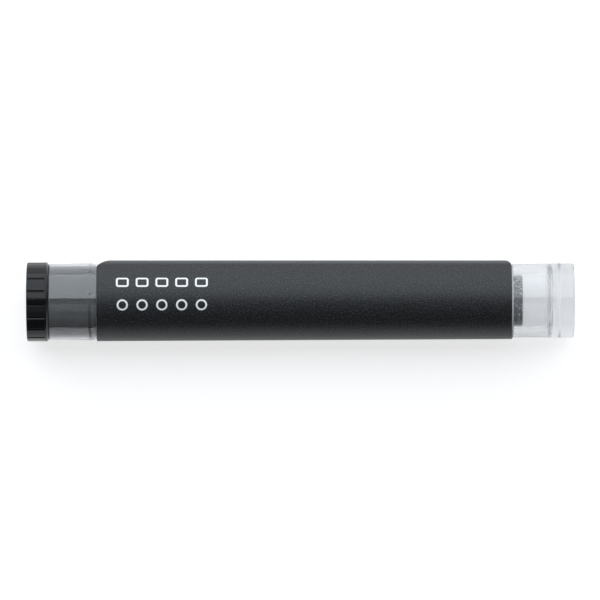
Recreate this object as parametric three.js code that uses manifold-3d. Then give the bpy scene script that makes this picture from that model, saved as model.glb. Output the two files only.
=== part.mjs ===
// A refill tube of cylindrical erasers, lying on its side as it does on a desk.
// A drafted clear tube with a solid foot is closed by a fluted stopper, whose plug sits in a socket
// wider than the bore. A label is rolled round the tube with a tapered lap at the back, and five
// loose erasers lie in a column in the bore.
// Millimetres, +Z up. The tube's axis runs along X, from the stopper at -X to the foot at +X.
import * as THREE from "three";
import { mergeVertices } from "three/addons/utils/BufferGeometryUtils.js";
import Module from "manifold-3d";

// Erasers: plain cut cylinders, loose in the bore
const ERASER_COUNT = 5;
const ERASER_DIAMETER = 6.85;
const ERASER_LENGTH = 11.2;
const ERASER_CHAMFER = 0.15;
const ERASER_SPACING = 0.08; // gap from the stopper to the column, and between neighbours
const ERASER_SEAT = 0.03; // gap under an eraser where it lies on the bore
const COLUMN_PLAY = 3.2; // empty length of bore that the column can slide into

// Tube: an injection moulding, open at a thin-walled socket and closed by a round-cornered floor
const BORE_CLEARANCE = 0.125; // radial, round an eraser at the floor
const BORE_DRAFT = 0.108; // degrees, wider towards the mouth
const OUTER_DRAFT = 0.148; // degrees, wider towards the mouth
const WALL = 1.35; // at the floor
const FLOOR_ROUND = 0.85; // corner between the bore and the flat floor
const FLOOR_STEPS = 5;
const FLOOR_THICKNESS = 0.85; // from the floor to the parting groove
const SOCKET_WALL = 0.38; // round the stopper's plug
const SOCKET_SPARE = 0.4; // the plug's tip to the socket's shoulder
const SHOULDER_CHAMFER = 0.3; // guides an eraser from the socket into the bore
const MOUTH_LEAD_IN = 0.08; // chamfer that guides the stopper into the socket
const MOUTH_ROUND = 0.1;
const SWELL = 0.09; // how far the sealing bead stretches the wall outwards
const SWELL_MOUTH_REACH = 4.5; // length of the swelling from the bead towards the mouth
const SWELL_LABEL_REACH = 0.75; // and from the bead towards the label
const SWELL_STEPS = 4; // on each side of the bead
const FOOT_HEIGHT = 2.0;
const FOOT_FLARE = 0.11; // radial, from the label's edge to the end of the foot
const FOOT_ROUND = 0.3;
const NOTCH_DEPTH = 0.04; // parting groove between the tube and its foot
const NOTCH_WIDTH = 0.3;

// Stopper: a fluted head and a hollow plug with a sealing bead
const HEAD_LENGTH = 2.95;
const HEAD_OVERHANG = 0.27; // radial, past the tube's mouth
const HEAD_ROUND = 0.22; // edge of the end face
const HEAD_WALL = 1.5; // end face to the plug's hollow
const LAND_RECESS = 0.05; // how far the fluted lands lie under the rim
const RIM_WIDTH = 0.2;
const RIM_CHAMFER = 0.3;
const FLUTE_COUNT = 18;
const FLUTE_DEPTH = 0.15;
const FLUTE_PHASE = 4.5; // degrees from the top to the front
const SHOULDER_GAP = 0.05; // head to the tube's mouth
const PLUG_LENGTH = 6.75;
const PLUG_CLEARANCE = 0.05; // radial, in the socket
const PLUG_WALL = 1.3;
const PLUG_WAIST = 0.05; // radial relief between the root and the bead
const PLUG_ROOT = 1.0; // length of the full-width root under the head
const PLUG_NOSE = 0.35; // chamfer at the tip
const BEAD_SETBACK = 1.25; // middle of the bead to the tip
const BEAD_WIDTH = 0.9;

// Label: one strip of thick paper, rolled once round the tube with a glued lap
const LABEL_THICKNESS = 0.2;
const LABEL_GLUE = 0.03; // glue film under the label and inside its lap
const LABEL_MOUTH_SETBACK = 0.06; // end of the swelling to the label's edge
const LABEL_FOOT_SETBACK = 8.15; // end of the foot to the label's other edge
const LABEL_CORNER = 1.3; // radius of the strip's four corners
const FLAP_ROOT = 42; // degrees from the back: from here to its free edge the strip narrows
const FLAP_TAPER_MOUTH = 17; // degrees, at the end beside the stopper
const FLAP_TAPER_FOOT = 8; // degrees, at the end beside the foot
const LABEL_FREE_EDGE = -9; // degrees from the back, under it
const LABEL_HIDDEN_EDGE = 20; // degrees from the back, over it and under the lap
const LABEL_CLIMB = 14; // degrees over which the lap rises on to the layer below
const LABEL_LEAD = 2; // degrees by which the lap is up before it meets the hidden edge
const CORNER_STEPS = 5;
const CLIMB_STEPS = 4;

// Facets round every piece, a multiple of 4 so that one lies flat below, and in a quarter round
const ROUND_SEGMENTS = 48;
const ROUND_STEPS = 3;

// Places along the axis, counted from the stopper's end face
const mouth = HEAD_LENGTH + SHOULDER_GAP;
const plugTip = HEAD_LENGTH + PLUG_LENGTH;
const beadPlace = plugTip - BEAD_SETBACK;
const shoulder = plugTip + SOCKET_SPARE;
const columnStart = plugTip + ERASER_SPACING;
const eraserPitch = ERASER_LENGTH + ERASER_SPACING;
const columnEnd = columnStart + ERASER_COUNT * eraserPitch - ERASER_SPACING;
const floorPlace = columnEnd + COLUMN_PLAY;
const floorFace = floorPlace + FLOOR_ROUND;
const footRoot = floorFace + FLOOR_THICKNESS;
const footEnd = footRoot + FOOT_HEIGHT;
const labelStart = beadPlace + SWELL_LABEL_REACH + LABEL_MOUTH_SETBACK;
const labelEnd = footEnd - LABEL_FOOT_SETBACK;

// Radii that the pieces share
const floorRadius = ERASER_DIAMETER / 2 + BORE_CLEARANCE;
const slope = (degrees) => Math.tan(THREE.MathUtils.degToRad(degrees));
const boreRadius = (place) => floorRadius + (floorPlace - place) * slope(BORE_DRAFT);
const outerRadius = (place) => floorRadius + WALL + (floorPlace - place) * slope(OUTER_DRAFT);
const rimRadius = outerRadius(mouth) + HEAD_OVERHANG;
const socketRadius = (place) => outerRadius(place) - SOCKET_WALL;
const plugRadius = socketRadius(mouth) - PLUG_CLEARANCE;
const labelRadius = outerRadius(labelStart) + LABEL_GLUE + LABEL_THICKNESS;
const groundRadius = rimRadius * Math.cos(Math.PI / ROUND_SEGMENTS); // to a flat facet of the rim

// Angles round the tube, from the back over the top. The strip winds from its hidden edge down
// the back, under the tube and up the front, so it ends more than a turn lower.
const stripStart = LABEL_HIDDEN_EDGE;
const stripEnd = LABEL_FREE_EDGE - 360;
const lapTop = stripStart - 360 + LABEL_LEAD;
const flapStart = FLAP_ROOT - 360;

const wasm = await Module();
wasm.setup();

// A closed geometry as a solid that can be joined and cut.
function solidOf(geometry) {
  const bare = geometry.clone();
  bare.deleteAttribute("normal");
  bare.deleteAttribute("uv");
  const merged = mergeVertices(bare, 1e-4);
  return new wasm.Manifold(
    new wasm.Mesh({
      numProp: 3,
      vertProperties: merged.attributes.position.array,
      triVerts: new Uint32Array(merged.index.array),
    }),
  );
}

// A solid's vertices and triangles as a geometry.
function geometryOf(solid) {
  const mesh = solid.getMesh();
  return new THREE.BufferGeometry()
    .setAttribute("position", new THREE.BufferAttribute(new Float32Array(mesh.vertProperties), 3))
    .setIndex(new THREE.BufferAttribute(new Uint32Array(mesh.triVerts), 1));
}

// A profile of [radius, place] points turned round the axis, with a flat facet above and below.
function turned(profile) {
  const points = profile.map(([radius, place]) => new THREE.Vector2(radius, place));
  return new THREE.LatheGeometry(points, ROUND_SEGMENTS, Math.PI / ROUND_SEGMENTS);
}

// A quarter round between two profile points, both included. It leaves the first one square to the
// axis and reaches the second along it, or the other way round where it leaves along the axis.
function quarterRound([radius0, place0], [radius1, place1], steps, leavesAlongAxis = false) {
  const points = [];
  for (let i = 0; i <= steps; i++) {
    const angle = (Math.PI / 2) * (i / steps);
    const early = Math.sin(angle);
    const late = 1 - Math.cos(angle);
    const [across, along] = leavesAlongAxis ? [late, early] : [early, late];
    points.push([radius0 + (radius1 - radius0) * across, place0 + (place1 - place0) * along]);
  }
  return points;
}

// The tube's outside radius, with the swelling that the sealing bead presses into the wall.
function swollenRadius(place) {
  const length = place < beadPlace ? SWELL_MOUTH_REACH : SWELL_LABEL_REACH;
  const reach = Math.min(Math.abs(place - beadPlace) / length, 1);
  return outerRadius(place) + (SWELL / 2) * (1 + Math.cos(Math.PI * reach));
}

// The tube's outside radius past the label, where it widens evenly to the end of the foot.
function flaredRadius(place) {
  return outerRadius(place) + (FOOT_FLARE * (place - labelEnd)) / (footEnd - labelEnd);
}

function makeTube() {
  const mouthOuter = outerRadius(mouth + MOUTH_ROUND);
  const footRadius = flaredRadius(footEnd - FOOT_ROUND);
  const footRim = [footRadius - FOOT_ROUND, footEnd];
  const swell = [];
  for (let i = -SWELL_STEPS; i <= SWELL_STEPS; i++) {
    const place = beadPlace + (i < 0 ? SWELL_MOUTH_REACH : SWELL_LABEL_REACH) * (i / SWELL_STEPS);
    swell.push([swollenRadius(place), place]);
  }
  return turned([
    [0, floorFace],
    ...quarterRound([floorRadius - FLOOR_ROUND, floorFace], [floorRadius, floorPlace], FLOOR_STEPS),
    [boreRadius(shoulder + SHOULDER_CHAMFER), shoulder + SHOULDER_CHAMFER],
    [boreRadius(shoulder) + SHOULDER_CHAMFER, shoulder],
    [socketRadius(shoulder), shoulder],
    [socketRadius(mouth + MOUTH_LEAD_IN), mouth + MOUTH_LEAD_IN],
    [socketRadius(mouth) + MOUTH_LEAD_IN, mouth],
    ...quarterRound([mouthOuter - MOUTH_ROUND, mouth], [mouthOuter, mouth + MOUTH_ROUND], ROUND_STEPS),
    ...swell,
    [outerRadius(labelEnd), labelEnd],
    [flaredRadius(footRoot - NOTCH_WIDTH / 2), footRoot - NOTCH_WIDTH / 2],
    [flaredRadius(footRoot) - NOTCH_DEPTH, footRoot],
    [flaredRadius(footRoot + NOTCH_WIDTH / 2), footRoot + NOTCH_WIDTH / 2],
    ...quarterRound([footRadius, footEnd - FOOT_ROUND], footRim, ROUND_STEPS, true),
    [0, footEnd],
  ]);
}

function makeStopper() {
  const land = rimRadius - LAND_RECESS;
  const rimEnd = HEAD_LENGTH - RIM_CHAMFER;
  const rimStart = rimEnd - RIM_WIDTH;
  const waist = plugRadius - PLUG_WAIST;
  const bead = socketRadius(beadPlace) - PLUG_CLEARANCE;
  const hollow = waist - PLUG_WALL;
  const blank = solidOf(
    turned([
      [0, 0],
      ...quarterRound([land - HEAD_ROUND, 0], [land, HEAD_ROUND], ROUND_STEPS),
      [land, rimStart],
      [rimRadius, rimStart],
      [rimRadius, rimEnd],
      [rimRadius - RIM_CHAMFER, HEAD_LENGTH],
      [plugRadius, HEAD_LENGTH],
      [plugRadius, HEAD_LENGTH + PLUG_ROOT],
      [waist, HEAD_LENGTH + PLUG_ROOT + PLUG_WAIST],
      [waist, beadPlace - BEAD_WIDTH / 2],
      [bead, beadPlace - BEAD_WIDTH / 6],
      [bead, beadPlace + BEAD_WIDTH / 6],
      [waist, beadPlace + BEAD_WIDTH / 2],
      [waist, plugTip - PLUG_NOSE],
      [waist - PLUG_NOSE, plugTip],
      [hollow, plugTip],
      [hollow, HEAD_WALL],
      [0, HEAD_WALL],
    ]),
  );
  // Each flute is cut by a square bar set on edge, which leaves a right-angled V.
  const side = 2 * FLUTE_DEPTH;
  const pitch = (2 * Math.PI) / FLUTE_COUNT;
  let cut = blank;
  for (let i = 0; i < FLUTE_COUNT; i++) {
    const bar = new THREE.BoxGeometry(side, 2 * rimStart, side)
      .rotateY(Math.PI / 4)
      .translate(land - FLUTE_DEPTH + side * Math.SQRT1_2, 0, 0)
      .rotateY(i * pitch + THREE.MathUtils.degToRad(FLUTE_PHASE));
    cut = cut.subtract(solidOf(bar));
  }
  return geometryOf(cut);
}

// The angles at which the strip is set out: close together round its corners and where the lap
// climbs, at the flap's root, and elsewhere at the tube's own facet edges, so that both bend together.
function stripAngles() {
  const step = 360 / ROUND_SEGMENTS;
  const corner = THREE.MathUtils.radToDeg(LABEL_CORNER / labelRadius);
  const close = [flapStart];
  for (let i = 0; i <= CORNER_STEPS; i++) {
    const share = 1 - Math.cos((Math.PI / 2) * (i / CORNER_STEPS));
    close.push(stripStart - corner * share, stripEnd + corner * share);
  }
  for (let i = 0; i <= CLIMB_STEPS; i++) close.push(lapTop + LABEL_CLIMB * (i / CLIMB_STEPS));
  const facets = [];
  for (let angle = 360 - step / 2; angle > stripEnd; angle -= step)
    if (angle < stripStart && close.every((other) => Math.abs(other - angle) > step / 4))
      facets.push(angle);
  return [...close, ...facets].sort((a, b) => b - a);
}

// How far the strip stands off the tube: a glue film, and a whole layer more where it laps itself.
function labelLift(angle) {
  const rise = 1 - THREE.MathUtils.smoothstep(angle, lapTop, lapTop + LABEL_CLIMB);
  return LABEL_GLUE + rise * (LABEL_THICKNESS + LABEL_GLUE);
}

// How far both sides of the strip draw in at an angle: nothing, except round the corners.
function cornerInset(angle) {
  const fromEdge = THREE.MathUtils.degToRad(Math.min(stripStart - angle, angle - stripEnd)) * labelRadius;
  const reach = THREE.MathUtils.clamp(LABEL_CORNER - fromEdge, 0, LABEL_CORNER);
  return LABEL_CORNER - Math.sqrt(LABEL_CORNER ** 2 - reach ** 2);
}

// The length of flap that has been passed at an angle, over which its two sides have narrowed.
function flapPassed(angle) {
  return THREE.MathUtils.degToRad(Math.max(flapStart - angle, 0)) * labelRadius;
}

// The label is a loft: at each angle two straight lines, one on each face, run from side to side of
// the strip, and neighbouring angles are joined all round.
function makeLabel() {
  const positions = [];
  const indices = [];
  const angles = stripAngles();
  angles.forEach((angle) => {
    const start = labelStart + cornerInset(angle) + flapPassed(angle) * slope(FLAP_TAPER_MOUTH);
    const end = labelEnd - cornerInset(angle) - flapPassed(angle) * slope(FLAP_TAPER_FOOT);
    const turn = THREE.MathUtils.degToRad(angle);
    for (const height of [LABEL_THICKNESS, 0])
      for (const place of [start, end]) {
        const radius = outerRadius(place) + labelLift(angle) + height;
        positions.push(radius * Math.sin(turn), place, radius * Math.cos(turn));
      }
  });
  const quad = (a, b, c, d) => indices.push(a, b, c, a, c, d);
  // The four corners at an angle, in order round the strip's section
  const section = [0, 1, 3, 2];
  for (let here = 0; here < 4 * (angles.length - 1); here += 4)
    section.forEach((corner, k) => {
      const next = section[(k + 1) % section.length];
      quad(here + corner, here + next, here + 4 + next, here + 4 + corner);
    });
  const last = 4 * (angles.length - 1);
  quad(0, 2, 3, 1);
  quad(last, last + 1, last + 3, last + 2);
  return new THREE.BufferGeometry()
    .setAttribute("position", new THREE.Float32BufferAttribute(positions, 3))
    .setIndex(indices);
}

function makeEraser() {
  const radius = ERASER_DIAMETER / 2;
  return turned([
    [0, 0],
    [radius - ERASER_CHAMFER, 0],
    [radius, ERASER_CHAMFER],
    [radius, ERASER_LENGTH - ERASER_CHAMFER],
    [radius - ERASER_CHAMFER, ERASER_LENGTH],
    [0, ERASER_LENGTH],
  ]);
}

const clearPlastic = { color: 0xe6eaed, roughness: 0.18, metalness: 0, transparent: true, opacity: 0.35 };
const blackPlastic = { color: 0x212428, roughness: 0.5, metalness: 0 };
const blackPaper = { color: 0x17191c, roughness: 0.62, metalness: 0 };
const greyRubber = { color: 0x3c3d41, roughness: 0.9, metalness: 0 };

// A named piece, at its place along the axis.
function piece(name, geometry, finish, place = 0) {
  const mesh = new THREE.Mesh(geometry, new THREE.MeshStandardMaterial(finish));
  mesh.name = name;
  mesh.position.y = place;
  return mesh;
}

// In their own group the pieces stand along +Y, with +X to the top of the tube and +Z to its back.
// The group is turned to lie along +X, with the stopper's rim on the ground.
const assembly = new THREE.Group();
assembly.add(piece("tube", makeTube(), clearPlastic));
assembly.add(piece("stopper", makeStopper(), blackPlastic));
assembly.add(piece("label", makeLabel(), blackPaper));
const eraserGeometry = makeEraser();
const eraserDrop = BORE_CLEARANCE - ERASER_SEAT;
for (let i = 0; i < ERASER_COUNT; i++) {
  const eraser = piece(`eraser_${i + 1}`, eraserGeometry, greyRubber, columnStart + i * eraserPitch);
  eraser.position.x = -eraserDrop;
  assembly.add(eraser);
}
assembly.rotation.set(-Math.PI / 2, 0, -Math.PI / 2);
assembly.position.set(-footEnd / 2, 0, groundRadius);

const part = new THREE.Group();
part.add(assembly);

export default part;
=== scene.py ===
import bpy
import numpy as np
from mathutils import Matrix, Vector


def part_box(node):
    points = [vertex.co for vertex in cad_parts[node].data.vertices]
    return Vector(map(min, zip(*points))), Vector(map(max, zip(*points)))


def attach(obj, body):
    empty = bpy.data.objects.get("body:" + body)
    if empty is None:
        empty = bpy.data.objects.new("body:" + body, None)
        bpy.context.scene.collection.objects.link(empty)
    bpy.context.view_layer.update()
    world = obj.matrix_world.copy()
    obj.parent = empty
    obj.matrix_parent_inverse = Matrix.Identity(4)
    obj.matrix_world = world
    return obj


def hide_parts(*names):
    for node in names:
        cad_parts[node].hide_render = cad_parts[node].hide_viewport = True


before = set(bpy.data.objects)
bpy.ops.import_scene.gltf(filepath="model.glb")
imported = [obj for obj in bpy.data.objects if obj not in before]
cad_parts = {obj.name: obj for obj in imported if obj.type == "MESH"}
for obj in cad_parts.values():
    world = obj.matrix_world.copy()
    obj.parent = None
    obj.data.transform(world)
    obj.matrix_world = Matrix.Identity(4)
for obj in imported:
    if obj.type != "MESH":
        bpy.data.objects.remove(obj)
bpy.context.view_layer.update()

# The tube
# A clear body, injection moulded in clarified polypropylene in one piece with its solid foot.
# It carries the rest: the stopper plugs a thin-walled socket at its mouth, the label is glued
# round it, and the erasers lie loose in its bore.
MM = 0.001
END_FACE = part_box("stopper")[0].x  # places along the axis are millimetres from this face
AXIS_HEIGHT = (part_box("tube")[0].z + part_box("tube")[1].z) / 2


def places(node):
    """Where a CAD node starts and ends along the axis, in millimetres from the stopper's end."""
    low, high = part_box(node)
    return (low.x - END_FACE) / MM, (high.x - END_FACE) / MM


MOUTH, FOOT_END = places("tube")
PLUG_TIP = places("stopper")[1]
FOOT_HEIGHT = 2.0
FOOT_ROOT = FOOT_END - FOOT_HEIGHT
FLOOR_ROUND, FLOOR_THICKNESS = 0.85, 0.85
FLOOR = FOOT_ROOT - FLOOR_THICKNESS - FLOOR_ROUND  # where the bore turns into the round corner
BORE_AT_MOUTH, BORE_AT_FLOOR = 3.675, 3.55  # radii; the mould's core is drafted
OUTSIDE_AT_MOUTH, OUTSIDE_AT_FLOOR = 5.071, 4.9
SOCKET_WALL = 0.22
SOCKET_SPARE = 0.4  # from the plug's tip to the socket's end
SHOULDER = PLUG_TIP + SOCKET_SPARE
SHOULDER_CHAMFER = 0.3
LEAD_IN = 0.08  # chamfer inside the mouth
FLARE_START = places("label")[1]
FOOT_FLARE = 0.11  # from the label's edge to the end of the foot
PARTING_GROOVE = 0.04
PARTING_WIDTH = 0.15  # on each side of the groove
BEAD_SETBACK = 1.25  # from the stopper's sealing bead to the plug's tip
BEAD = PLUG_TIP - BEAD_SETBACK
SWELL = 0.09  # the stopper's bead stretches the wall by this much
SWELL_REACH = np.array([-4.5, 0.75])  # from the bead towards the mouth and towards the label
ROUND_STEPS = 192
ROUND = np.arange(ROUND_STEPS) * 2 * np.pi / ROUND_STEPS  # from the back (+Y) over the top (+Z)
SHARP_ANGLE = np.radians(32)


def bore(place):
    """The bore's radius: a straight taper from the mouth to the floor."""
    return np.interp(place, [MOUTH, FLOOR], [BORE_AT_MOUTH, BORE_AT_FLOOR])


def outside(place):
    """The tube's outside radius: a straight taper too, carried on past the floor."""
    taper = (OUTSIDE_AT_MOUTH - OUTSIDE_AT_FLOOR) / (FLOOR - MOUTH)
    return OUTSIDE_AT_FLOOR + (FLOOR - place) * taper


def socket(place):
    """The socket's radius: one thin wall inside the tube's outside."""
    return outside(place) - SOCKET_WALL


def flared(place):
    """The tube's outside radius past the label, where it widens evenly to the end of the foot."""
    return outside(place) + FOOT_FLARE * (place - FLARE_START) / (FOOT_END - FLARE_START)


def eased(corners, steps=6):
    """A profile of (place, radius) points with softened corners. Each corner is (place, radius,
    ease): the profile leaves its straight run that far before the corner and joins the next one
    that far after it, along the parabola whose end tangents meet in the corner."""
    corners = np.array(corners, float)
    point, ease = corners[:, None, :2], corners[:, None, 2:]

    def towards(neighbour):
        run = neighbour - point
        return run / np.linalg.norm(run, axis=2, keepdims=True)

    before = point + ease * towards(np.roll(point, 1, axis=0))
    after = point + ease * towards(np.roll(point, -1, axis=0))
    t = np.linspace(0, 1, steps + 1)[None, :, None]
    curve = ((1 - t) ** 2 * before + 2 * t * (1 - t) * point + t**2 * after).reshape(-1, 2)
    return curve[np.r_[True, np.linalg.norm(np.diff(curve, axis=0), axis=1) > 1e-6]]


def mesh_piece(name, points, faces):
    """A new piece at the origin from points in metres and its faces, smooth but for sharp edges."""
    mesh = bpy.data.meshes.new(name)
    mesh.from_pydata(points, [], faces)
    mesh.shade_smooth()
    mesh.set_sharp_from_angle(angle=SHARP_ANGLE)
    made = bpy.data.objects.new(name, mesh)
    bpy.context.scene.collection.objects.link(made)
    return made


def turned(name, place, radius, angle=ROUND, height=AXIS_HEIGHT):
    """A closed piece turned round an axis along X. Point k of the profile gives a ring, whose
    place and radius may also vary with the angle; neighbouring rings are joined by quads, and the
    first and last points, on the axis, are joined to their rings by triangles."""
    count = len(angle)
    radius = np.broadcast_to(np.reshape(radius, (len(place), -1)), (len(place), count)) * MM
    x = END_FACE + np.broadcast_to(np.reshape(place, (len(place), -1)), radius.shape) * MM
    rings = np.stack([x, radius * np.cos(angle), height + radius * np.sin(angle)], axis=-1)[1:-1]
    poles = [[x[0, 0], 0, height], [x[-1, 0], 0, height]]
    here = np.arange(count)
    after = np.roll(here, -1)
    row = np.arange(len(rings) - 1)[:, None] * count
    bands = np.stack([row + here, row + after, row + count + after, row + count + here], axis=-1)
    first, last = rings.shape[0] * count + np.arange(2)
    start_fan = np.stack([np.full(count, first), after, here], axis=-1)
    last_ring = first - count
    end_fan = np.stack([last_ring + here, last_ring + after, np.full(count, last)], axis=-1)
    faces = bands.reshape(-1, 4).tolist() + start_fan.tolist() + end_fan.tolist()
    return mesh_piece(name, np.vstack([rings.reshape(-1, 3), poles]), faces)


def face_middles(piece):
    """Place and radius of the middle of each face of a turned piece, in millimetres."""
    middle = np.empty(len(piece.data.polygons) * 3)
    piece.data.polygons.foreach_get("center", middle)
    from_axis = np.hypot(middle[1::3], middle[2::3] - AXIS_HEIGHT)
    return (middle[0::3] - END_FACE) / MM, from_axis / MM


def colour(code):
    """An sRGB hex code as linear red, green, blue and alpha."""
    srgb = np.array([int(code[i:i + 2], 16) for i in (1, 3, 5)]) / 255
    linear = np.where(srgb <= 0.04045, srgb / 12.92, ((srgb + 0.055) / 1.055) ** 2.4)
    return (*linear, 1.0)


def new_material(name):
    """A new material, with its node tree and its Principled shader."""
    made = bpy.data.materials.new(name)
    made.use_nodes = True
    return made, made.node_tree, made.node_tree.nodes["Principled BSDF"]


def add(tree, kind, inputs, **settings):
    """Adds a node with its settings. An input given as an output socket is linked, and any other
    is set as a value."""
    made = tree.nodes.new(kind)
    for setting, value in settings.items():
        setattr(made, setting, value)
    for name, value in inputs.items():
        if isinstance(value, bpy.types.NodeSocket):
            tree.links.new(value, made.inputs[name])
        else:
            made.inputs[name].default_value = value
    return made


SHOULDER_EASE, SOCKET_CORNER, LEAD_IN_EASE, MOUTH_EDGE = 0.08, 0.2, 0.03, 0.08
GROOVE_EDGE, GROOVE_BOTTOM, FOOT_EDGE = 0.06, 0.05, 0.4
to_mouth, to_label = SWELL_REACH
swell = BEAD + np.r_[np.linspace(to_mouth, 0, 16), np.linspace(0, to_label, 10)[1:]]
swell_share = (swell - BEAD) / np.where(swell < BEAD, to_mouth, to_label)
swollen = outside(swell) + SWELL / 2 * (1 + np.cos(np.pi * swell_share))
corner = np.linspace(0, np.pi / 2, 17)
tube_profile = eased([
    (FLOOR + FLOOR_ROUND, 0, 0),
    *np.stack([
        FLOOR + FLOOR_ROUND * np.cos(corner),
        bore(FLOOR) - FLOOR_ROUND * (1 - np.sin(corner)),
        0 * corner,
    ], axis=-1),
    (SHOULDER + SHOULDER_CHAMFER, bore(SHOULDER + SHOULDER_CHAMFER), SHOULDER_EASE),
    (SHOULDER, bore(SHOULDER) + SHOULDER_CHAMFER, SHOULDER_EASE),
    (SHOULDER, socket(SHOULDER), SOCKET_CORNER),
    (MOUTH + LEAD_IN, socket(MOUTH + LEAD_IN), LEAD_IN_EASE),
    (MOUTH, socket(MOUTH) + LEAD_IN, LEAD_IN_EASE),
    (MOUTH, outside(MOUTH), MOUTH_EDGE),
    *np.stack([swell, swollen, 0 * swell], axis=-1),
    (FLARE_START, outside(FLARE_START), 0),
    (FOOT_ROOT - PARTING_WIDTH, flared(FOOT_ROOT - PARTING_WIDTH), GROOVE_EDGE),
    (FOOT_ROOT, flared(FOOT_ROOT) - PARTING_GROOVE, GROOVE_BOTTOM),
    (FOOT_ROOT + PARTING_WIDTH, flared(FOOT_ROOT + PARTING_WIDTH), GROOVE_EDGE),
    (FOOT_END, flared(FOOT_END), FOOT_EDGE),
    (FOOT_END, 0, 0),
])
tube = turned("clear_tube", *tube_profile.T)

# Clarified polypropylene, moulded: a polished skin whose ripple of cooling breaks up the edges of
# reflections. The core leaves the bore satin, and its tip and the parting line leave it frosted.
# The polished skin carries the plastic's faint grey, because light that passes through the tube
# crosses it twice.
SKINS = {  # smoothest and roughest, and the tint
    "clear_polypropylene_polished": (0.05, 0.09, "#EAECEF"),
    "clear_polypropylene_satin": (0.2, 0.26, "#FFFFFF"),
    "clear_polypropylene_frosted": (0.4, 0.5, "#F8F9FA"),
}
FLOW_PATCH, RIPPLE = 1.6, 0.45  # millimetres
NOISE_SPAN = {"From Min": 0.3, "From Max": 0.7}  # nearly all of a noise pattern lies in here
for skin_name, (smoothest, roughest, skin_tint) in SKINS.items():
    skin, tree, shader = new_material(skin_name)
    shader.inputs["Base Color"].default_value = colour(skin_tint)
    shader.inputs["IOR"].default_value = 1.49
    shader.inputs["Transmission Weight"].default_value = 0.93
    coords = add(tree, "ShaderNodeTexCoord", {})
    flow = add(tree, "ShaderNodeTexNoise", {
        "Vector": coords.outputs["Object"],
        "Scale": 1 / (FLOW_PATCH * MM),
        "Detail": 3.0,
    })
    gloss = add(tree, "ShaderNodeMapRange", {
        **NOISE_SPAN,
        "Value": flow.outputs["Fac"],
        "To Min": smoothest,
        "To Max": roughest,
    })
    tree.links.new(gloss.outputs["Result"], shader.inputs["Roughness"])
    ripple = add(tree, "ShaderNodeTexNoise", {
        "Vector": coords.outputs["Object"],
        "Scale": 1 / (RIPPLE * MM),
        "Detail": 2.0,
    })
    bump = add(tree, "ShaderNodeBump", {
        "Height": ripple.outputs["Fac"],
        "Strength": 1.0,
        "Distance": 0.002 * MM,
    })
    tree.links.new(bump.outputs["Normal"], shader.inputs["Normal"])
    tube.data.materials.append(skin)
SATIN, FROSTED = 1, 2  # the skins' places in the list above
face_place, face_radius = face_middles(tube)
in_bore = (face_place > SHOULDER) & (face_place < FOOT_ROOT) & (face_radius < bore(SHOULDER))
in_corner = in_bore & (face_place > FLOOR)
in_groove = (np.abs(face_place - FOOT_ROOT) < PARTING_WIDTH) & (face_radius > bore(FLOOR))
tube_skin = np.where(in_corner | in_groove, FROSTED, SATIN * in_bore)
tube.data.polygons.foreach_set("material_index", tube_skin)
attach(tube, "tube")
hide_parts("tube")

# The erasers
# Five cylinders cut from an extruded rod of dark grey rubber filled with pale abrasive grains.
# They lie loose in the bore, one behind the other.
ERASER_COUNT = 5
CUT_EDGE = 0.07  # the knife leaves the edge slightly rounded
MOTTLE, GRAIN_SPACING = 0.25, 0.3  # millimetres

# Filled rubber, extruded: dull and dark, with single pale grains, about 0.2 mm each, and a finer
# mottle of filler.
rubber, tree, shader = new_material("filled_rubber_extruded")
shader.inputs["Roughness"].default_value = 0.78
coords = add(tree, "ShaderNodeTexCoord", {})
mottle = add(tree, "ShaderNodeTexNoise", {
    "Vector": coords.outputs["Object"],
    "Scale": 1 / (MOTTLE * MM),
    "Detail": 4.0,
    "Roughness": 0.7,
})
body_colour = add(tree, "ShaderNodeMix", {
    "Factor": mottle.outputs["Fac"],
    "A": colour("#323337"),
    "B": colour("#727378"),
}, data_type="RGBA")
grains = add(tree, "ShaderNodeTexVoronoi", {
    "Vector": coords.outputs["Object"],
    "Scale": 1 / (GRAIN_SPACING * MM),
})
grain_mask = add(tree, "ShaderNodeMapRange", {
    "Value": grains.outputs["Distance"],
    "From Min": 0.34,
    "From Max": 0.26,
})
speckled = add(tree, "ShaderNodeMix", {
    "Factor": grain_mask.outputs["Result"],
    "A": body_colour.outputs["Result"],
    "B": colour("#CFD0D1"),
}, data_type="RGBA")
tree.links.new(speckled.outputs["Result"], shader.inputs["Base Color"])
bump = add(tree, "ShaderNodeBump", {
    "Height": mottle.outputs["Fac"],
    "Strength": 0.6,
    "Distance": 0.03 * MM,
})
tree.links.new(bump.outputs["Normal"], shader.inputs["Normal"])

for number in range(1, ERASER_COUNT + 1):
    node = f"eraser_{number}"
    low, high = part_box(node)
    start, end = places(node)
    radius = (high.z - low.z) / 2 / MM
    eraser_profile = eased([
        (start, 0, 0),
        (start, radius, CUT_EDGE),
        (end, radius, CUT_EDGE),
        (end, 0, 0),
    ])
    eraser = turned(f"rubber_{number}", *eraser_profile.T, height=(low.z + high.z) / 2)
    eraser.data.materials.append(rubber)
    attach(eraser, node)
    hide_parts(node)

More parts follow.
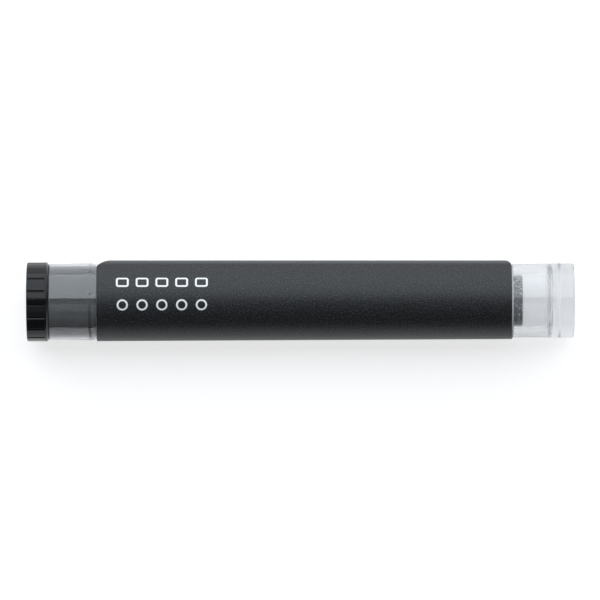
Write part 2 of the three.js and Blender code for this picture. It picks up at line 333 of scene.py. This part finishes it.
# The stopper
# A black polyethylene moulding: a fluted head to grip, and a hollow plug that is pushed into the
# tube's mouth and seals there with a bead near its tip.
HEAD_LENGTH = 2.95
HEAD_WALL = 1.5
RIM_RADIUS = (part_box("stopper")[1].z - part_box("stopper")[0].z) / 2 / MM
LAND_RECESS = 0.05  # how far the fluted lands lie under the rim
LAND_RADIUS = RIM_RADIUS - LAND_RECESS
RIM_CHAMFER, RIM_WIDTH = 0.3, 0.2
RIM_END = HEAD_LENGTH - RIM_CHAMFER
RIM_START = RIM_END - RIM_WIDTH
FLUTES, FLUTE_DEPTH = 18, 0.15
FLUTE_PITCH = 360 / FLUTES
FLUTE_PHASE = 94.5  # degrees from the back over the top to the first flute
LAND_START = 3.5  # degrees from the middle of a flute
PLUG_CLEARANCE, WAIST_RELIEF = 0.02, 0.02  # radial
PLUG_RADIUS = socket(MOUTH) - PLUG_CLEARANCE
PLUG_ROOT, WAIST_STEP = 1.0, 0.05
WAIST_START = HEAD_LENGTH + PLUG_ROOT
WAIST_RADIUS = PLUG_RADIUS - WAIST_RELIEF
BEAD_CLEARANCE = 0.018
BEAD_RADIUS = socket(BEAD) - BEAD_CLEARANCE
BEAD_WIDTH = 0.9
BEAD_CROWN = BEAD_WIDTH / 9  # half the width of its top
BEAD_PRESS = 0.03  # its reach out of round, enough to touch the socket's wall here and there
BEAD_WANDER = 0.4  # its reach out of true, along the axis
WANDER_LAG = 40  # points round the bead by which the wander lags behind the press
PLUG_WALL = 1.3
HOLLOW_RADIUS = WAIST_RADIUS - PLUG_WALL
NOSE = 0.35
FACE_EDGE, RIM_EDGE, FINE_EDGE, SOFT_EDGE = 0.25, 0.04, 0.05, 0.08
HOLLOW_EDGE, HOLLOW_CORNER = 0.15, 0.2

# A right-angled V is as wide each way as it is deep.
flute_reach = np.degrees(FLUTE_DEPTH / LAND_RADIUS)
in_flute = flute_reach * np.array([-1.4, -1, -0.55, -0.12, 0.12, 0.55, 1, 1.4])
on_land = np.linspace(LAND_START, FLUTE_PITCH - LAND_START, 8)
offset = np.r_[in_flute, on_land]
head_angle = (FLUTE_PHASE + np.arange(FLUTES)[:, None] * FLUTE_PITCH + offset).ravel()
flute_cut = np.tile(FLUTE_DEPTH * np.clip(1 - np.abs(offset) / flute_reach, 0, 1), FLUTES)
stopper_profile = eased([
    (0, 0, 0),
    (0, LAND_RADIUS, FACE_EDGE),
    (RIM_START, LAND_RADIUS, 0),
    (RIM_START, RIM_RADIUS, RIM_EDGE),
    (RIM_END, RIM_RADIUS, FINE_EDGE),
    (HEAD_LENGTH, RIM_RADIUS - RIM_CHAMFER, FINE_EDGE),
    (HEAD_LENGTH, PLUG_RADIUS, FINE_EDGE),
    (WAIST_START, PLUG_RADIUS, FINE_EDGE),
    (WAIST_START + WAIST_STEP, WAIST_RADIUS, FINE_EDGE),
    (BEAD - BEAD_WIDTH / 2, WAIST_RADIUS, SOFT_EDGE),
    (BEAD - BEAD_CROWN, BEAD_RADIUS, FINE_EDGE),
    (BEAD + BEAD_CROWN, BEAD_RADIUS, FINE_EDGE),
    (BEAD + BEAD_WIDTH / 2, WAIST_RADIUS, FINE_EDGE),
    (PLUG_TIP - NOSE, WAIST_RADIUS, SOFT_EDGE),
    (PLUG_TIP, WAIST_RADIUS - NOSE, SOFT_EDGE),
    (PLUG_TIP, HOLLOW_RADIUS, HOLLOW_EDGE),
    (HEAD_WALL, HOLLOW_RADIUS, HOLLOW_CORNER),
    (HEAD_WALL, 0, 0),
])
place, radius = stopper_profile.T
fluted = (place <= RIM_START) & (radius <= LAND_RADIUS)
stopper_radius = np.where(
    fluted[:, None], np.minimum(radius[:, None], LAND_RADIUS - flute_cut), radius[:, None]
)
# The bead is a little out of round and out of true, so it touches the socket's wall in a ragged
# line. Its reach at each angle is a mean, a wave once round, a wave three times round, and three
# fine waves.
head_turn = np.radians(head_angle)
ragged = (
    0.1 * np.sin(11 * head_turn)
    + 0.08 * np.sin(23 * head_turn + 1)
    + 0.07 * np.sin(37 * head_turn + 2)
)
waver = 0.45 + 0.3 * np.cos(head_turn - 2.1) + 0.2 * np.cos(3 * head_turn - 0.6) + ragged
on_bead = np.abs(place - BEAD) < BEAD_WIDTH / 2
crest = on_bead * np.clip((radius - WAIST_RADIUS) / (BEAD_RADIUS - WAIST_RADIUS), 0, 1)
stopper_radius = stopper_radius + BEAD_PRESS * crest[:, None] * waver
stopper_place = place[:, None] + BEAD_WANDER * crest[:, None] * np.roll(ragged, WANDER_LAG)
stopper = turned("black_stopper", stopper_place, stopper_radius, head_turn)

# Black polyethylene, moulded: a waxy satin black, a little uneven in gloss from the mould.
MOULD_PATCH = 0.7  # millimetres
MOULD_GRAIN = 0.2  # spark-eroded grain, drawn coarser than it is so that it shows
black, tree, shader = new_material("black_polyethylene_moulded")
shader.inputs["IOR"].default_value = 1.5
shader.inputs["Specular IOR Level"].default_value = 0.3
coords = add(tree, "ShaderNodeTexCoord", {})
mould = add(tree, "ShaderNodeTexNoise", {
    "Vector": coords.outputs["Object"],
    "Scale": 1 / (MOULD_PATCH * MM),
    "Detail": 4.0,
})
tint = add(tree, "ShaderNodeMix", {
    "Factor": mould.outputs["Fac"],
    "A": colour("#08090B"),
    "B": colour("#131518"),
}, data_type="RGBA")
tree.links.new(tint.outputs["Result"], shader.inputs["Base Color"])
gloss = add(tree, "ShaderNodeMapRange", {
    **NOISE_SPAN,
    "Value": mould.outputs["Fac"],
    "To Min": 0.1,
    "To Max": 0.17,
})
tree.links.new(gloss.outputs["Result"], shader.inputs["Roughness"])
grain = add(tree, "ShaderNodeTexNoise", {
    "Vector": coords.outputs["Object"],
    "Scale": 1 / (MOULD_GRAIN * MM),
    "Detail": 2.0,
})
bump = add(tree, "ShaderNodeBump", {
    "Height": grain.outputs["Fac"],
    "Strength": 0.5,
    "Distance": 0.01 * MM,
})
tree.links.new(bump.outputs["Normal"], shader.inputs["Normal"])
stopper.data.materials.append(black)

# The same polyethylene, rubbed dull by the socket's wall along the bead's highest line.
rubbed = black.copy()
rubbed.name = "black_polyethylene_rubbed"
rubbed.node_tree.nodes["Principled BSDF"].inputs["Specular IOR Level"].default_value = 0.0
stopper.data.materials.append(rubbed)
face_place, face_radius = face_middles(stopper)
on_wall = (np.abs(face_place - BEAD) < BEAD_WIDTH / 2) & (face_radius > socket(face_place))
stopper.data.polygons.foreach_set("material_index", on_wall.astype(int))
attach(stopper, "stopper")
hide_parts("stopper")

# The label
# One strip of thick paper, printed matt black on its outer side and rolled once round the tube.
# Both its ends narrow and have round corners, and the outer one is glued on the layer below,
# just past the back.
TRIM = 0.06  # the edge beside the stopper lies this far in from the CAD's
LABEL_START, LABEL_END = places("label")
LABEL_START += TRIM
PAPER = 0.2
GLUE = 0.03
CORNER = 1.3
FREE_EDGE, HIDDEN_EDGE = -9.0, 20.0  # degrees from the back: the lap's edge, and the one under it
CLIMB, LEAD = 14.0, 2.0  # degrees over which the lap rises, and by which it is up before the edge
CUT_SLOPE = np.array([0.025, 0.2])  # the knife leaves the white core showing as a fine line
FLAP_ROOT, TUCK_ROOT = 30.0, -30.0  # degrees from the back: where the two ends begin to narrow
FLAP_TAPER = np.radians([34, 20])  # beside the stopper and beside the foot
TUCK_TAPER = np.radians([17, 10])  # the same at the hidden end
STATION = 2.0  # degrees between the strip's stations
LABEL_RADIUS = outside(LABEL_START) + GLUE + PAPER

strip_start, strip_end = HIDDEN_EDGE, FREE_EDGE - 360
flap_start = FLAP_ROOT - 360
lap_top = strip_start - 360 + LEAD
corner_turn = np.degrees(CORNER / LABEL_RADIUS)
corner_turns = corner_turn * (1 - np.cos(np.linspace(0, np.pi / 2, 13)))
strip = np.unique(np.r_[
    np.arange(strip_end, strip_start, STATION),
    strip_end + corner_turns,
    strip_start - corner_turns,
    np.linspace(lap_top, lap_top + CLIMB, 13),
    flap_start,
    TUCK_ROOT,
])[::-1]
# Each side is set in by the taper past the root, and at the corners by their round. Past the root
# the cut's slope fades to a tenth.
from_edge = np.radians(np.minimum(strip_start - strip, strip - strip_end)) * LABEL_RADIUS
reach = np.clip(CORNER - from_edge, 0, CORNER)
flap_passed = np.radians(np.maximum(flap_start - strip, 0))[:, None] * LABEL_RADIUS
tuck_passed = np.radians(np.maximum(strip - TUCK_ROOT, 0))[:, None] * LABEL_RADIUS
inset = flap_passed * np.tan(FLAP_TAPER) + tuck_passed * np.tan(TUCK_TAPER)
inset += (CORNER - np.sqrt(CORNER**2 - reach**2))[:, None]
slope = CUT_SLOPE * np.clip(1 - flap_passed - tuck_passed, 0.1, 1)
rise = np.clip((lap_top + CLIMB - strip) / CLIMB, 0, 1)
lift = GLUE + rise**2 * (3 - 2 * rise) * (PAPER + GLUE)

# At each turn of the strip four points go round its section: the printed face, then the inner one.
section_place = np.stack([
    LABEL_START + inset[:, 0] + slope[:, 0],
    LABEL_END - inset[:, 1] - slope[:, 1],
    LABEL_END - inset[:, 1],
    LABEL_START + inset[:, 0],
], axis=-1)
section_radius = outside(section_place) + lift[:, None] + np.array([PAPER, PAPER, 0, 0])
turn = np.radians(strip)[:, None]
label_points = np.stack([
    END_FACE + section_place * MM,
    section_radius * MM * np.cos(turn),
    AXIS_HEIGHT + section_radius * MM * np.sin(turn),
], axis=-1).reshape(-1, 3)
station = np.arange(len(strip) - 1)[:, None] * 4
side = np.arange(4)
beside = np.roll(side, -1)
label_faces = np.stack(
    [station + side, station + beside, station + 4 + beside, station + 4 + side], axis=-1
).reshape(-1, 4)
end_caps = [[3, 2, 1, 0], list(range(len(label_points) - 4, len(label_points)))]
label = mesh_piece("paper_label", label_points, label_faces.tolist() + end_caps)
printed_side = np.arange(len(label.data.polygons)) % 4 == 0
printed_side[-len(end_caps):] = False

# Its own map, in millimetres: along the tube, and round it from the top towards the back.
TOP = -270.0  # degrees along the strip
from_top = -np.radians(strip - TOP)[:, None] * LABEL_RADIUS
paper_map = np.stack([
    section_place,
    np.broadcast_to(from_top, section_place.shape),
], axis=-1).reshape(-1, 2)
corner_point = np.empty(len(label.data.loops), int)
label.data.loops.foreach_get("vertex_index", corner_point)
label.data.uv_layers.new(name="paper").data.foreach_set("uv", paper_map[corner_point].ravel())

# Matt black print on coated paper: a deep black with a soft sheen, broken by the fibres under it.
PRINT_START, PRINT_PITCH, PRINT_COUNT = 11.5, 2.63, 5
PRINT_HALF = PRINT_COUNT * PRINT_PITCH / 2
BAR_ROW, RING_ROW = 2.7, -0.45  # from the top towards the back
BAR_CORE, BAR_ROUND = (0.5, 0.35, 0.0), 0.35
RING_RADIUS = 0.75
STROKE, STROKE_BLUR = 0.12, 0.03  # half-widths
FIBRE = 0.17  # millimetres between fibre ends
printed, tree, shader = new_material("black_print_on_paper")
shader.inputs["IOR"].default_value = 1.5
shader.inputs["Specular IOR Level"].default_value = 0.45
coords = add(tree, "ShaderNodeTexCoord", {})
fibres = add(tree, "ShaderNodeTexNoise", {
    "Vector": coords.outputs["UV"],
    "Scale": 1 / FIBRE,
    "Detail": 1.0,
    "Roughness": 0.6,
})
cover = add(tree, "ShaderNodeMapRange", {
    "Value": fibres.outputs["Fac"],
    "From Min": 0.5,
    "From Max": 0.76,
})
ink = add(tree, "ShaderNodeMix", {
    "Factor": cover.outputs["Result"],
    "A": colour("#000000"),
    "B": colour("#444951"),
}, data_type="RGBA")
# Five outlined bars over five rings, the sides and ends of the erasers inside, left white in the
# print. A mark is where the depth inside the nearest outline, worked out in one cell of the row,
# is less than the stroke's full width.
across = add(tree, "ShaderNodeSeparateXYZ", {"Vector": coords.outputs["UV"]})
from_start = add(tree, "ShaderNodeMath", {
    0: across.outputs["X"],
    1: PRINT_START,
}, operation="SUBTRACT")
in_cell = add(tree, "ShaderNodeMath", {
    0: from_start.outputs[0],
    1: PRINT_PITCH,
}, operation="FLOORED_MODULO")
from_middle = add(tree, "ShaderNodeMath", {
    0: in_cell.outputs[0],
    1: PRINT_PITCH / 2,
}, operation="SUBTRACT")
from_bar = add(tree, "ShaderNodeMath", {
    0: across.outputs["Y"],
    1: BAR_ROW,
}, operation="SUBTRACT")
bar_point = add(tree, "ShaderNodeCombineXYZ", {
    "X": from_middle.outputs[0],
    "Y": from_bar.outputs[0],
})
bar_side = add(tree, "ShaderNodeVectorMath", {0: bar_point.outputs[0]}, operation="ABSOLUTE")
bar_past = add(tree, "ShaderNodeVectorMath", {
    0: bar_side.outputs[0],
    1: BAR_CORE,
}, operation="SUBTRACT")
bar_outer = add(tree, "ShaderNodeVectorMath", {
    0: bar_past.outputs[0],
    1: (0, 0, 0),
}, operation="MAXIMUM")
bar_reach = add(tree, "ShaderNodeVectorMath", {0: bar_outer.outputs[0]}, operation="LENGTH")
bar_edge = add(tree, "ShaderNodeMath", {
    0: bar_reach.outputs["Value"],
    1: BAR_ROUND,
}, operation="SUBTRACT")
from_ring = add(tree, "ShaderNodeMath", {
    0: across.outputs["Y"],
    1: RING_ROW,
}, operation="SUBTRACT")
ring_point = add(tree, "ShaderNodeCombineXYZ", {
    "X": from_middle.outputs[0],
    "Y": from_ring.outputs[0],
})
ring_reach = add(tree, "ShaderNodeVectorMath", {0: ring_point.outputs[0]}, operation="LENGTH")
ring_edge = add(tree, "ShaderNodeMath", {
    0: ring_reach.outputs["Value"],
    1: RING_RADIUS,
}, operation="SUBTRACT")
nearest = add(tree, "ShaderNodeMath", {
    0: bar_edge.outputs[0],
    1: ring_edge.outputs[0],
}, operation="MINIMUM")
inward = add(tree, "ShaderNodeMath", {0: nearest.outputs[0], 1: STROKE}, operation="ADD")
from_stroke = add(tree, "ShaderNodeMath", {0: inward.outputs[0]}, operation="ABSOLUTE")
mark = add(tree, "ShaderNodeMapRange", {
    "Value": from_stroke.outputs[0],
    "From Min": STROKE + STROKE_BLUR,
    "From Max": STROKE - STROKE_BLUR,
})
within = add(tree, "ShaderNodeMath", {
    0: from_start.outputs[0],
    1: PRINT_HALF,
    2: PRINT_HALF,
}, operation="COMPARE")
mark_here = add(tree, "ShaderNodeMath", {
    0: mark.outputs[0],
    1: within.outputs[0],
}, operation="MULTIPLY")
surface = add(tree, "ShaderNodeMix", {
    "Factor": mark_here.outputs[0],
    "A": ink.outputs["Result"],
    "B": colour("#ECEDEE"),
}, data_type="RGBA")
tree.links.new(surface.outputs["Result"], shader.inputs["Base Color"])
sheen = add(tree, "ShaderNodeMapRange", {
    **NOISE_SPAN,
    "Value": fibres.outputs["Fac"],
    "To Min": 0.42,
    "To Max": 0.52,
})
tree.links.new(sheen.outputs["Result"], shader.inputs["Roughness"])
bump = add(tree, "ShaderNodeBump", {
    "Height": fibres.outputs["Fac"],
    "Strength": 1.0,
    "Distance": 0.02 * MM,
})
tree.links.new(bump.outputs["Normal"], shader.inputs["Normal"])
label.data.materials.append(printed)

# Bare paper, uncoated: the white core that shows at the cut edges and on the glued side.
PULP = 0.15  # millimetres
core, tree, shader = new_material("white_paper_uncoated")
shader.inputs["Roughness"].default_value = 0.85
coords = add(tree, "ShaderNodeTexCoord", {})
pulp = add(tree, "ShaderNodeTexNoise", {
    "Vector": coords.outputs["Object"],
    "Scale": 1 / (PULP * MM),
    "Detail": 3.0,
})
paper_tint = add(tree, "ShaderNodeMix", {
    "Factor": pulp.outputs["Fac"],
    "A": colour("#A8A8A6"),
    "B": colour("#D4D3D0"),
}, data_type="RGBA")
tree.links.new(paper_tint.outputs["Result"], shader.inputs["Base Color"])
label.data.materials.append(core)
label.data.polygons.foreach_set("material_index", np.where(printed_side, 0, 1))
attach(label, "tube")
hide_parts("label")

# The stage
# A white sweep under the tube, a large cool softbox over its back, a weak fill that fades towards
# the front, and the camera straight above.
SWEEP_FLAT, SWEEP_EDGE, SWEEP_RISE = 1.4, 3.0, 0.2  # metres: flat to here, then up to its edge
SWEEP_STEPS = 96
floor_radius = np.r_[0, np.linspace(0.02, SWEEP_FLAT, 12), np.linspace(1.5, SWEEP_EDGE, 16)]
floor_share = np.clip((floor_radius - SWEEP_FLAT) / (SWEEP_EDGE - SWEEP_FLAT), 0, 1)
floor_rise = SWEEP_RISE * floor_share**2
here = np.arange(SWEEP_STEPS)
after = np.roll(here, -1)
floor_angle = here * 2 * np.pi / SWEEP_STEPS
floor_points = np.stack([
    floor_radius[:, None] * np.cos(floor_angle),
    floor_radius[:, None] * np.sin(floor_angle),
    np.repeat(floor_rise[:, None], SWEEP_STEPS, axis=1),
], axis=-1).reshape(-1, 3)
row = np.arange(1, len(floor_radius) - 1)[:, None] * SWEEP_STEPS
next_row = row + SWEEP_STEPS
floor_bands = np.stack([row + here, next_row + here, next_row + after, row + after], axis=-1)
floor_fan = np.stack([0 * here, here + SWEEP_STEPS, after + SWEEP_STEPS], axis=-1)
floor_faces = floor_bands.reshape(-1, 4).tolist() + floor_fan.tolist()
floor = mesh_piece("floor", floor_points, floor_faces)

# White paper: seen directly, in a reflection or through the tube it is mostly plain white, and the
# rest of it takes the light and keeps the tube's soft shadow.
PLAIN_WHITE = 0.7
paper, tree, shader = new_material("white_sweep_paper")
tree.nodes.remove(shader)
path = add(tree, "ShaderNodeLightPath", {})
seen = path.outputs["Is Camera Ray"]
for ray in ("Is Glossy Ray", "Is Transmission Ray"):
    either = add(tree, "ShaderNodeMath", {0: seen, 1: path.outputs[ray]}, operation="MAXIMUM")
    seen = either.outputs[0]
plain_share = add(tree, "ShaderNodeMath", {0: seen, 1: PLAIN_WHITE}, operation="MULTIPLY")
lit = add(tree, "ShaderNodeBsdfDiffuse", {"Color": colour("#BCBCBC")})
white = add(tree, "ShaderNodeEmission", {"Strength": plain_share.outputs[0]})
sweep = add(tree, "ShaderNodeAddShader", {0: lit.outputs[0], 1: white.outputs[0]})
tree.links.new(sweep.outputs[0], tree.nodes["Material Output"].inputs["Surface"])
floor.data.materials.append(paper)

world = bpy.data.worlds.new("dim_studio")
world.use_nodes = True
world.node_tree.nodes["Background"].inputs["Color"].default_value = colour("#FFFFFF")
world.node_tree.nodes["Background"].inputs["Strength"].default_value = 0.03
bpy.context.scene.world = world

PANEL_DISTANCE = 0.9
PANEL_LENGTH = 2.2
COOL_WHITE = (0.9, 0.955, 1.0)
PANELS = {  # degrees to the back, width, radiance
    "softbox": (49.5, 1.48, 2.2),
    "fill_high": (-18.0, 0.38, 0.38),
    "fill_middle": (-42.5, 0.4, 0.17),
    "fill_low": (-69.5, 0.465, 0.06),
}
for panel_name, (tilt, width, radiance) in PANELS.items():
    lamp = bpy.data.lights.new(panel_name, "AREA")
    lamp.shape = "RECTANGLE"
    lamp.size = PANEL_LENGTH
    lamp.size_y = width
    lamp.color = COOL_WHITE
    lamp.energy = radiance * np.pi * PANEL_LENGTH * width
    panel = bpy.data.objects.new(panel_name, lamp)
    tilt = np.radians(tilt)
    panel.location = (0, PANEL_DISTANCE * np.sin(tilt), PANEL_DISTANCE * np.cos(tilt))
    panel.rotation_euler = (-tilt, 0, 0)
    panel.visible_camera = False
    bpy.context.scene.collection.objects.link(panel)

CAMERA_HEIGHT = 1.2  # above the tube's axis
CAMERA_ALONG, CAMERA_BACK = -0.06 * MM, 0.15 * MM  # off the middle of the part
CAMERA_TURN = np.radians(-0.15)  # the tube lies very slightly across the frame
FRAME_WIDTH = 0.0801  # at the axis
lens = bpy.data.cameras.new("camera")
lens.sensor_width = 36
lens.lens = lens.sensor_width * CAMERA_HEIGHT / FRAME_WIDTH
lens.clip_start = 0.01
camera = bpy.data.objects.new("camera", lens)
camera.location = (CAMERA_ALONG, CAMERA_BACK, AXIS_HEIGHT + CAMERA_HEIGHT)
camera.rotation_euler = (0, 0, CAMERA_TURN)
bpy.context.scene.collection.objects.link(camera)
bpy.context.scene.camera = camera
bpy.context.scene.view_settings.view_transform = "Standard"
